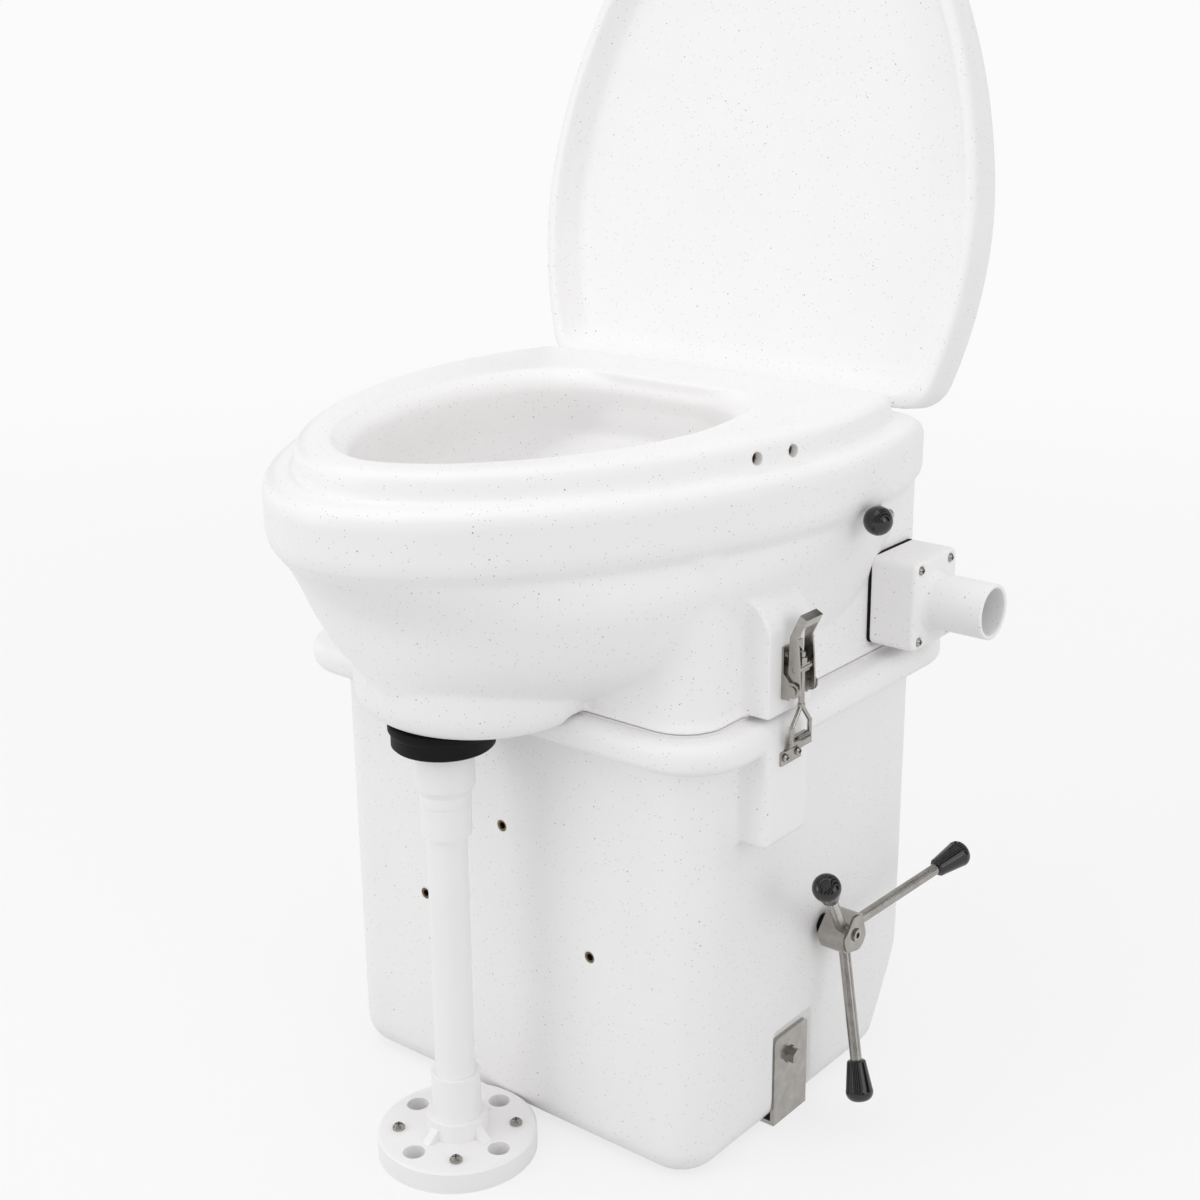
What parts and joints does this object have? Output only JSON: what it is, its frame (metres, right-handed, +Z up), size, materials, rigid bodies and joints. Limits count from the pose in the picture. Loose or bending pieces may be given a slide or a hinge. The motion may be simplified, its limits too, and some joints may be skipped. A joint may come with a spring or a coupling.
{
  "type": "composting toilet",
  "caption": "Free-standing composting toilet with a hinged lid, trap door, hand-cranked agitator, latched base tub, vent fan and a front urine drain pipe.",
  "frame": {"origin": "on the floor, at the centre of the flat that the base tub stands on", "axes": "+X towards the side with the crank and the vent stub, -Y towards the front with the drain pipe, +Z up; rest pose has the lid open and leaning back, the trap door closed and the latches closed"},
  "size_m": [0.4395, 0.5125, 0.8809],
  "materials": {
    "speckled_shell": "satin rotomoulded polyethylene, warm white with sparse grey speckle",
    "trap_plate": "satin moulded polypropylene",
    "stainless_steel": "brushed stainless steel",
    "black_phenolic": "gloss black moulded phenolic",
    "black_rubber": "matt black rubber",
    "white_pvc": "plain white PVC pipe and fittings",
    "bush_nylon": "natural nylon",
    "brass_insert": "plain turned brass",
    "fan_black": "black moulded fan plastic"
  },
  "bodies": {
    "body": {"base_tub": "speckled_shell", "head_bowl": "speckled_shell", "lid_hinge_pins": "stainless_steel", "rim_gasket": "black_rubber", "trap_bushes": "bush_nylon", "shaft_bushes": "bush_nylon", "shaft_seals": "black_rubber", "vent_housing": "speckled_shell", "vent_gasket": "black_rubber", "vent_screws": "stainless_steel", "fan_frame": "fan_black", "insect_screens": "stainless_steel", "intake_cover": "speckled_shell", "intake_gasket": "black_rubber", "intake_screws": "stainless_steel", "latch_base_right": "stainless_steel", "latch_base_left": "stainless_steel", "latch_catch_right": "stainless_steel", "latch_catch_left": "stainless_steel", "latch_rivets": "stainless_steel", "latch_screws": "stainless_steel", "foot_bracket_right": "stainless_steel", "foot_bracket_left": "stainless_steel", "bracket_bolts": "stainless_steel", "front_inserts": "brass_insert", "seat_inserts": "brass_insert", "drain_boot": "black_rubber", "reducer_bush": "white_pvc", "upper_coupling": "white_pvc", "drain_pipe": "white_pvc", "lower_bushing": "white_pvc", "floor_flange": "white_pvc", "flange_screws": "stainless_steel"},
    "lid": {"lid": "speckled_shell"},
    "trap": {"trap_door": "trap_plate", "trap_shaft": "stainless_steel", "trap_knob": "black_phenolic", "trap_screws": "stainless_steel"},
    "agitator": {"agitator_shaft": "stainless_steel", "agitator_bars": "stainless_steel", "shaft_end_nut": "stainless_steel", "crank_hub": "stainless_steel", "hub_bolt": "stainless_steel", "spoke_upper": "stainless_steel", "spoke_rear": "stainless_steel", "spoke_lower": "stainless_steel", "knob_upper": "black_phenolic", "knob_rear": "black_phenolic", "knob_lower": "black_phenolic"},
    "fan": {"fan_rotor": "fan_black"},
    "lever_right": {"latch_lever_right": "stainless_steel"},
    "bail_right": {"latch_bail_right": "stainless_steel"},
    "lever_left": {"latch_lever_left": "stainless_steel"},
    "bail_left": {"latch_bail_left": "stainless_steel"}
  },
  "joints": [
    {"name": "lid_hinge", "type": "hinge", "parent": "body", "child": "lid", "pos_m": [0, 0.1405, 0.479], "axis": [1, 0, 0], "range_deg": [0, 99.2]},
    {"name": "trap_swing", "type": "hinge", "parent": "body", "child": "trap", "pos_m": [0, 0.056, 0.429], "axis": [1, 0, 0], "range_deg": [0, 65]},
    {"name": "crank_turn", "type": "hinge", "parent": "body", "child": "agitator", "pos_m": [0, 0.0391, 0.1336], "axis": [1, 0, 0], "continuous": true},
    {"name": "fan_spin", "type": "hinge", "parent": "body", "child": "fan", "pos_m": [0.172, 0.108, 0.3595], "axis": [1, 0, 0], "continuous": true},
    {"name": "latch_right", "type": "hinge", "parent": "body", "child": "lever_right", "pos_m": [0.19, -0.044, 0.3417], "axis": [0, 1, 0], "range_deg": [0, 75]},
    {"name": "bail_right_swing", "type": "hinge", "parent": "lever_right", "child": "bail_right", "pos_m": [0.19, -0.044, 0.3547], "axis": [0, 1, 0], "range_deg": [-57.75, 0]},
    {"name": "latch_left", "type": "hinge", "parent": "body", "child": "lever_left", "pos_m": [-0.19, -0.044, 0.3417], "axis": [0, -1, 0], "range_deg": [0, 75]},
    {"name": "bail_left_swing", "type": "hinge", "parent": "lever_left", "child": "bail_left", "pos_m": [-0.19, -0.044, 0.3547], "axis": [0, -1, 0], "range_deg": [-57.75, 0]}
  ],
  "couplings": [
    {"joint": "bail_right_swing", "follows": "latch_right", "ratio": -0.77},
    {"joint": "bail_left_swing", "follows": "latch_left", "ratio": -0.77}
  ]
}
